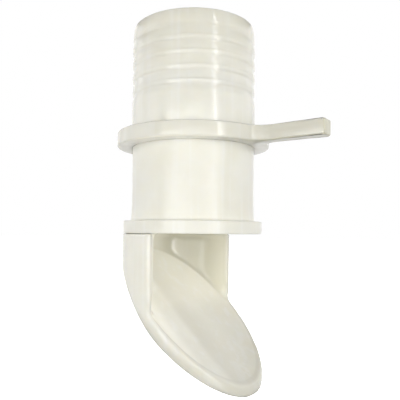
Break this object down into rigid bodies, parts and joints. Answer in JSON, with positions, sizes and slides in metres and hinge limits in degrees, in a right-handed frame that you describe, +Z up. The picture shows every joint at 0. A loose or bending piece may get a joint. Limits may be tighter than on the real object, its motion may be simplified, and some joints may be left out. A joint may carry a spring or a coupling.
{
  "type": "thru hull fitting",
  "caption": "Turning scoop thru hull fitting: a ribbed hose tail above a lever ring, a flanged barrel for the hull, and a half round scoop with a sloping spoon floor below.",
  "frame": {"origin": "on the turning axis, in the plane where the sleeve's flange meets the outside of the hull", "axes": "+Z up the turning axis into the boat, towards the hose; +X the way the lever and the scoop's mouth point at rest"},
  "size_m": [0.0678, 0.0476, 0.1108],
  "materials": {
    "natural_nylon": "natural uncoloured nylon, milky ivory, soft gloss",
    "sleeve_nylon": "natural uncoloured nylon, milky ivory, soft gloss, slightly warmer at the flange",
    "washer_acetal": "white bearing plastic, matt",
    "seal_rubber": "black nitrile rubber",
    "stainless_steel": "stainless steel strip"
  },
  "bodies": {
    "sleeve": {"hull_sleeve": "sleeve_nylon", "lower_thrust_washer": "washer_acetal", "upper_thrust_washer": "washer_acetal"},
    "rotor": {"scoop": "natural_nylon", "lever_ring": "natural_nylon", "left_drive_key": "stainless_steel", "right_drive_key": "stainless_steel", "ring_retaining_clip": "stainless_steel", "tail_snap_ring": "stainless_steel", "sleeve_lower_o_ring": "seal_rubber", "sleeve_upper_o_ring": "seal_rubber", "tail_lower_o_ring": "seal_rubber", "tail_upper_o_ring": "seal_rubber"},
    "tail": {"hose_tail": "natural_nylon"}
  },
  "joints": [
    {"name": "lever_turn", "type": "hinge", "parent": "sleeve", "child": "rotor", "pos_m": [0, 0, 0], "axis": [0, 0, 1], "continuous": true},
    {"name": "tail_swivel", "type": "hinge", "parent": "rotor", "child": "tail", "pos_m": [0, 0, 0.035], "axis": [0, 0, 1], "continuous": true}
  ]
}
